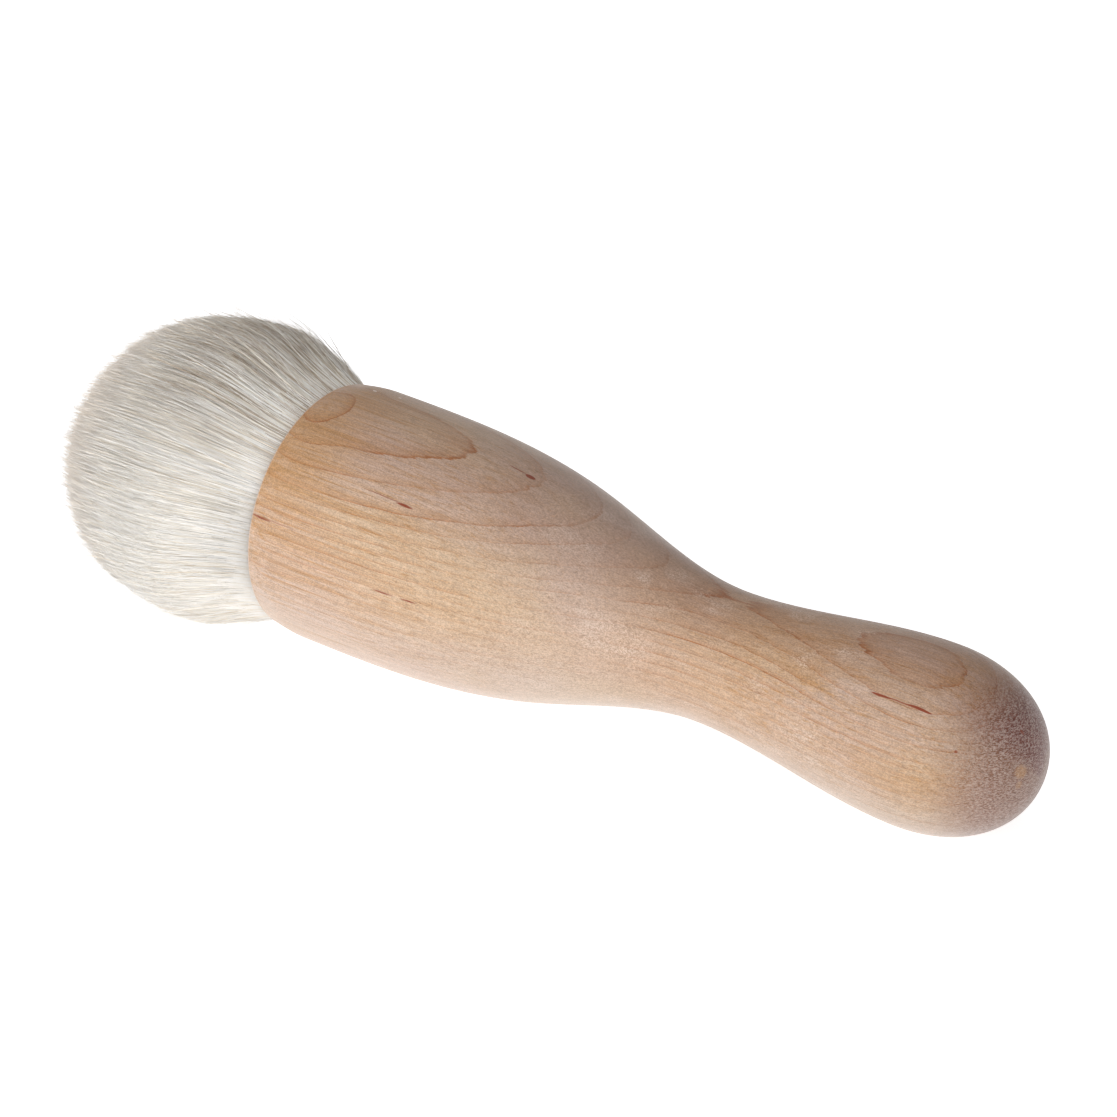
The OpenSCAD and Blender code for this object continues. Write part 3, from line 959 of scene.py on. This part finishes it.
def grow_hair(context, name, sectors, values):
    """Hairs in equal sectors of the head, with one piece for each sector."""
    handle, hair = context.scene.brush_handle, context.scene.brush_hair
    lip_at, lip_r = lip_point(handle, hair)
    wide_at = handle.length + hair.head_at
    finish = bpy.data.materials.get("goat_hair") or hair_material(handle, hair)
    tree = bpy.data.node_groups.get("Hair strands") or strand_tree()
    sector = 2 * math.pi / sectors
    for number in range(sectors):
        piece_name = f"{name}_{number + 1}"
        piece = bpy.data.objects.new(piece_name, bpy.data.meshes.new(piece_name))
        context.scene.collection.objects.link(piece)
        made = run_tree(piece, tree, {
            "First Angle": sector * number,
            "Sector": sector,
            "Lip At": lip_at,
            "Lip Radius": lip_r,
            "Fan Slope": hair.fan_slope,
            "Wide At": wide_at,
            "Wide Radius": hair.head_d / 2,
            "Dome Length": handle.length + hair.out - wide_at,
            "Fullness": hair.fullness,
            "Inward": hair.inward,
            "Short Hair": hair.short,
            "Uneven": hair.uneven,
            "Lock Width": hair.lock_width,
            "Furrow": hair.furrow,
            "Stray": hair.stray,
            **laid_down(handle, hair, droops=True),
            "Finish": finish,
            **values,
            "Seed": values["Seed"] + 100 * number,
        })
        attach(made, BODY)
        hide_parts("hair_head")


class BRUSH_OT_flank_hair(bpy.types.Operator):
    """Grow the hairs that leave the mouth and end on the flank of the dome, in one piece for each sector"""

    bl_idname = "brush.flank_hair"
    bl_label = "Flank hair"

    def execute(self, context):
        hair = context.scene.brush_hair
        grow_hair(context, "hair_lock", hair.sectors, {
            "Count": hair.strands,
            "Joints": hair.joints,
            "Hair Radius": hair.strand_d / 2,
            "Blunt": 0.7,
            "Bunched": 1.0,
            "From Mouth": 1.0,
            "End From": -0.12,
            "End To": hair.crown_from + 0.1,
            "Seed": 0,
        })
        return {"FINISHED"}


class BRUSH_OT_crown_hair(bpy.types.Operator):
    """Grow the ends of the hairs in the middle of the dome, in one piece for each sector"""

    bl_idname = "brush.crown_hair"
    bl_label = "Crown hair"

    def execute(self, context):
        hair = context.scene.brush_hair
        grow_hair(context, "hair_crown", hair.crown_sectors, {
            "Count": hair.crown_strands,
            "Joints": 2,
            "Hair Radius": hair.crown_d / 2,
            "Blunt": 1.0,
            "Bunched": 2.0,
            "From Mouth": 0.0,
            "End From": hair.crown_from - 0.1,
            "End To": 0.9995,
            "Uneven": hair.uneven * 0.75,
            "Stray": hair.stray * 0.7,
            "Seed": 5000,
        })
        return {"FINISHED"}


class BRUSH_OT_socket_finish(bpy.types.Operator):
    """Give the thread, resin and glue in the socket their finishes"""

    bl_idname = "brush.socket_finish"
    bl_label = "Thread, resin and glue"

    def execute(self, context):
        handle = context.scene.brush_handle
        finishes = {
            "binding_thread": thread_material(handle),
            "root_seal": cast_material(handle, "amber_resin", (0.20, 0.07, 0.012), (0.42, 0.17, 0.035), 0.25),
            "glue_bed": cast_material(handle, "cured_glue", (0.66, 0.60, 0.40), (0.80, 0.75, 0.56), 0.45),
        }
        for node, finish in finishes.items():
            piece = frame["nodes"][node]
            piece.data.materials.clear()
            piece.data.materials.append(finish)
        return {"FINISHED"}


def aimed_at(aim, name, data, spot):
    """A camera or a light in the scene at a spot, turned to its aim."""
    placed = bpy.data.objects.new(name, data)
    placed.location = spot
    placed.rotation_euler = (aim - Vector(spot)).to_track_quat("-Z", "Y").to_euler()
    bpy.context.scene.collection.objects.link(placed)
    return placed


class BRUSH_OT_stage(bpy.types.Operator):
    """Set the camera, the pale floor and the soft light"""

    bl_idname = "brush.stage"
    bl_label = "Stage"

    def execute(self, context):
        scene, stage = context.scene, context.scene.brush_stage
        aim = Vector(stage.aim)
        turn, rise = stage.azimuth, stage.elevation
        back = Vector((math.sin(turn) * math.cos(rise), -math.cos(turn) * math.cos(rise), math.sin(rise)))
        lens = bpy.data.cameras.new("Camera")
        lens.lens = stage.lens
        lens.sensor_width = 36
        lens.clip_start = 0.01
        scene.camera = aimed_at(aim, "Camera", lens, aim + back * stage.distance)

        bpy.ops.mesh.primitive_plane_add(size=stage.floor_size, location=(0, 0, 0))
        floor = context.object
        floor.name = "studio_floor"
        material, maker, shader = new_material("pale_paper", 0.9, **{"Specular IOR Level": 0.1})
        place = maker.add("ShaderNodeTexCoord").outputs["Object"]
        soft = maker.ramp(maker.noise(place, 3.0), 0.3, 0.7, 0.985, 1.0)
        maker.feed(shader.inputs["Base Color"], maker.darken(stage.floor_colour, soft))
        shader.inputs["Emission Color"].default_value = (*GLOW_COLOUR, 1)
        # The table glows less and less toward the tail's side.
        right = maker.ramp(maker.split(place)[0], -0.02, 0.25)
        maker.feed(shader.inputs["Emission Strength"], (1 - right * 0.25) * stage.floor_glow)
        floor.data.materials.append(material)

        world = bpy.data.worlds.new("studio")
        world.use_nodes = True
        world.node_tree.nodes.clear()
        maker = Maker(world.node_tree)
        toward = maker.add("ShaderNodeTexCoord").outputs["Generated"]
        front = Vector((math.sin(stage.front_turn), -math.cos(stage.front_turn), FRONT_RISE)).normalized()
        facing = maker.add("ShaderNodeVectorMath", {0: toward, 1: front}, operation="DOT_PRODUCT")
        bright = maker.ramp(facing.outputs["Value"], -0.35, 0.95, stage.dim_side, 1.0)
        sky = maker.step("ShaderNodeBackground", {"Color": (1, 1, 1, 1), "Strength": bright * stage.sky})
        maker.add("ShaderNodeOutputWorld", {"Surface": sky})
        scene.world = world

        lamp = bpy.data.lights.new("key", "AREA")
        lamp.shape = "DISK"
        lamp.size = KEY_SIZE
        lamp.energy = stage.key
        aimed_at(aim, "key", lamp, KEY_SPOT)
        scene.view_settings.view_transform = "Standard"
        return {"FINISHED"}


class BRUSH_PT_panel(bpy.types.Panel):
    """Lists the steps in the 3D view's sidebar"""

    bl_idname = "BRUSH_PT_panel"
    bl_label = "Kabuki Brush"
    bl_space_type = "VIEW_3D"
    bl_region_type = "UI"
    bl_category = "Kabuki Brush"

    def draw(self, context):
        layout = self.layout
        for step in STEPS:
            layout.operator(step.bl_idname)
        for group, settings in SETTINGS.items():
            box = layout.box()
            box.label(text=settings.__name__)
            for name in settings.__annotations__:
                box.prop(getattr(context.scene, group), name)


STEPS = (
    BRUSH_OT_handle,
    BRUSH_OT_hair_core,
    BRUSH_OT_flank_hair,
    BRUSH_OT_crown_hair,
    BRUSH_OT_socket_finish,
    BRUSH_OT_stage,
)
SETTINGS = {"brush_handle": HandleSettings, "brush_hair": HairSettings, "brush_stage": StageSettings}


def register():
    for settings in SETTINGS.values():
        bpy.utils.register_class(settings)
    for group, settings in SETTINGS.items():
        setattr(bpy.types.Scene, group, bpy.props.PointerProperty(type=settings))
    for step in STEPS:
        bpy.utils.register_class(step)
    bpy.utils.register_class(BRUSH_PT_panel)


def unregister():
    bpy.utils.unregister_class(BRUSH_PT_panel)
    for step in reversed(STEPS):
        bpy.utils.unregister_class(step)
    for group, settings in SETTINGS.items():
        delattr(bpy.types.Scene, group)
        bpy.utils.unregister_class(settings)


def main():
    """Builds the whole brush and its stage."""
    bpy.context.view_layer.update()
    register()
    bpy.ops.brush.stage()
    bpy.ops.brush.handle()
    bpy.ops.brush.hair_core()
    bpy.ops.brush.flank_hair()
    bpy.ops.brush.crown_hair()
    bpy.ops.brush.socket_finish()


if __name__ == "__main__":
    main()
